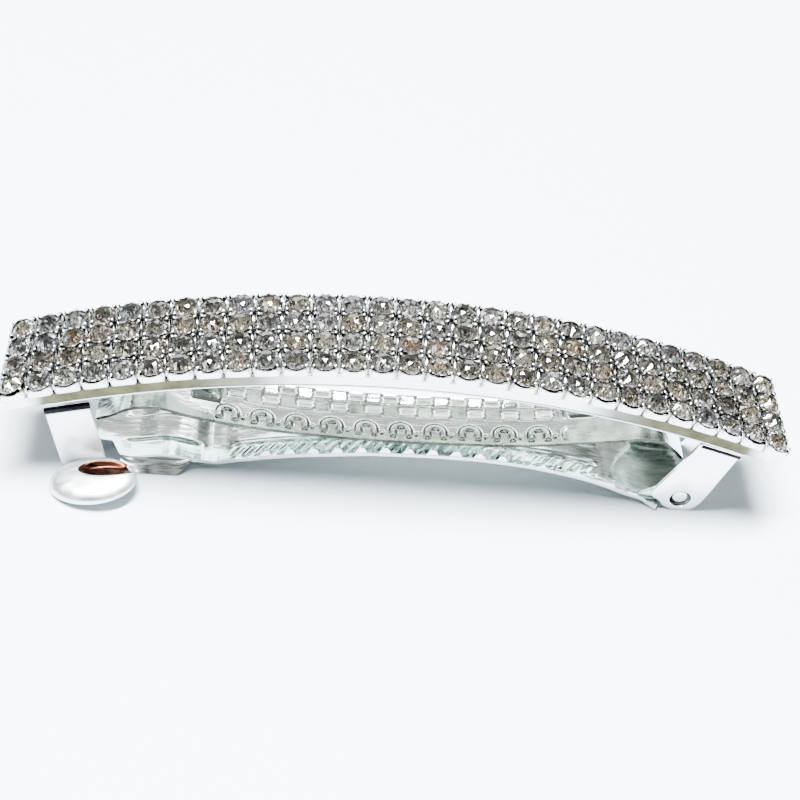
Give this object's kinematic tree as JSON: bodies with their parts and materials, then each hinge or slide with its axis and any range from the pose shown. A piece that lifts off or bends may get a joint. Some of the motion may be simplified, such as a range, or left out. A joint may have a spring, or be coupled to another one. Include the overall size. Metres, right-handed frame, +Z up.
{
  "type": "rhinestone hair clip",
  "caption": "Arched spring hair barrette with a band of round faceted stones in claw cups, a hinged clasp arm, a tension bar and a catch with finger paddles.",
  "frame": {"origin": "centre of the bounding box on the plane the clip stands on", "axes": "+X along the clip towards the hinge, -Y the front, +Z up through the stones"},
  "size_m": [0.0864, 0.0232, 0.0193],
  "materials": {
    "silver_plate": "bright silver plate",
    "setting_silver": "bright silver plate, stamped claw cups",
    "spring_steel": "bright plated spring steel",
    "clasp_silver": "bright plated, pressed texture",
    "stone": "pale smoky faceted glass with a foiled back"
  },
  "bodies": {
    "root": {"top_plate": "silver_plate", "backing_strip": "silver_plate", "catch_base": "spring_steel", "setting_row_1": "setting_silver", "setting_row_2": "setting_silver", "setting_row_3": "setting_silver", "setting_row_4": "setting_silver", "stone_column_01": "stone", "stone_column_02": "stone", "stone_column_03": "stone", "stone_column_04": "stone", "stone_column_05": "stone", "stone_column_06": "stone", "stone_column_07": "stone", "stone_column_08": "stone", "stone_column_09": "stone", "stone_column_10": "stone", "stone_column_11": "stone", "stone_column_12": "stone", "stone_column_13": "stone", "stone_column_14": "stone", "stone_column_15": "stone", "stone_column_16": "stone", "stone_column_17": "stone", "stone_column_18": "stone", "stone_column_19": "stone", "stone_column_20": "stone", "stone_column_21": "stone", "stone_column_22": "stone", "stone_column_23": "stone", "stone_column_24": "stone", "stone_column_25": "stone", "stone_column_26": "stone", "stone_column_27": "stone", "stone_column_28": "stone", "stone_column_29": "stone"},
    "catch_leg_front": {"catch_leg_front": "spring_steel"},
    "catch_leg_rear": {"catch_leg_rear": "spring_steel"},
    "tension_bar": {"tension_bar": "spring_steel"},
    "clasp_arm": {"clasp_arm": "clasp_silver"}
  },
  "joints": [
    {"name": "clasp_arm_hinge", "type": "hinge", "parent": "root", "child": "clasp_arm", "pos_m": [0.03275, 0, 0.00175], "axis": [0, -1, 0], "range_deg": [0, 75]},
    {"name": "tension_bar_flex", "type": "hinge", "parent": "root", "child": "tension_bar", "pos_m": [0.0322, 0, 0.0066], "axis": [0, -1, 0], "range_deg": [0, 7.5]},
    {"name": "catch_leg_front_flex", "type": "hinge", "parent": "root", "child": "catch_leg_front", "pos_m": [-0.0357, -0.00525, 0.0096], "axis": [0.9627, 0, 0.2707], "range_deg": [-5, 3], "stiffness_Nm_per_rad": 0.05},
    {"name": "catch_leg_rear_flex", "type": "hinge", "parent": "root", "child": "catch_leg_rear", "pos_m": [-0.0357, 0.00525, 0.0096], "axis": [0.9627, 0, 0.2707], "range_deg": [-3, 5], "stiffness_Nm_per_rad": 0.05}
  ],
  "couplings": [
    {"joint": "tension_bar_flex", "follows": "clasp_arm_hinge", "ratio": 0.1}
  ]
}
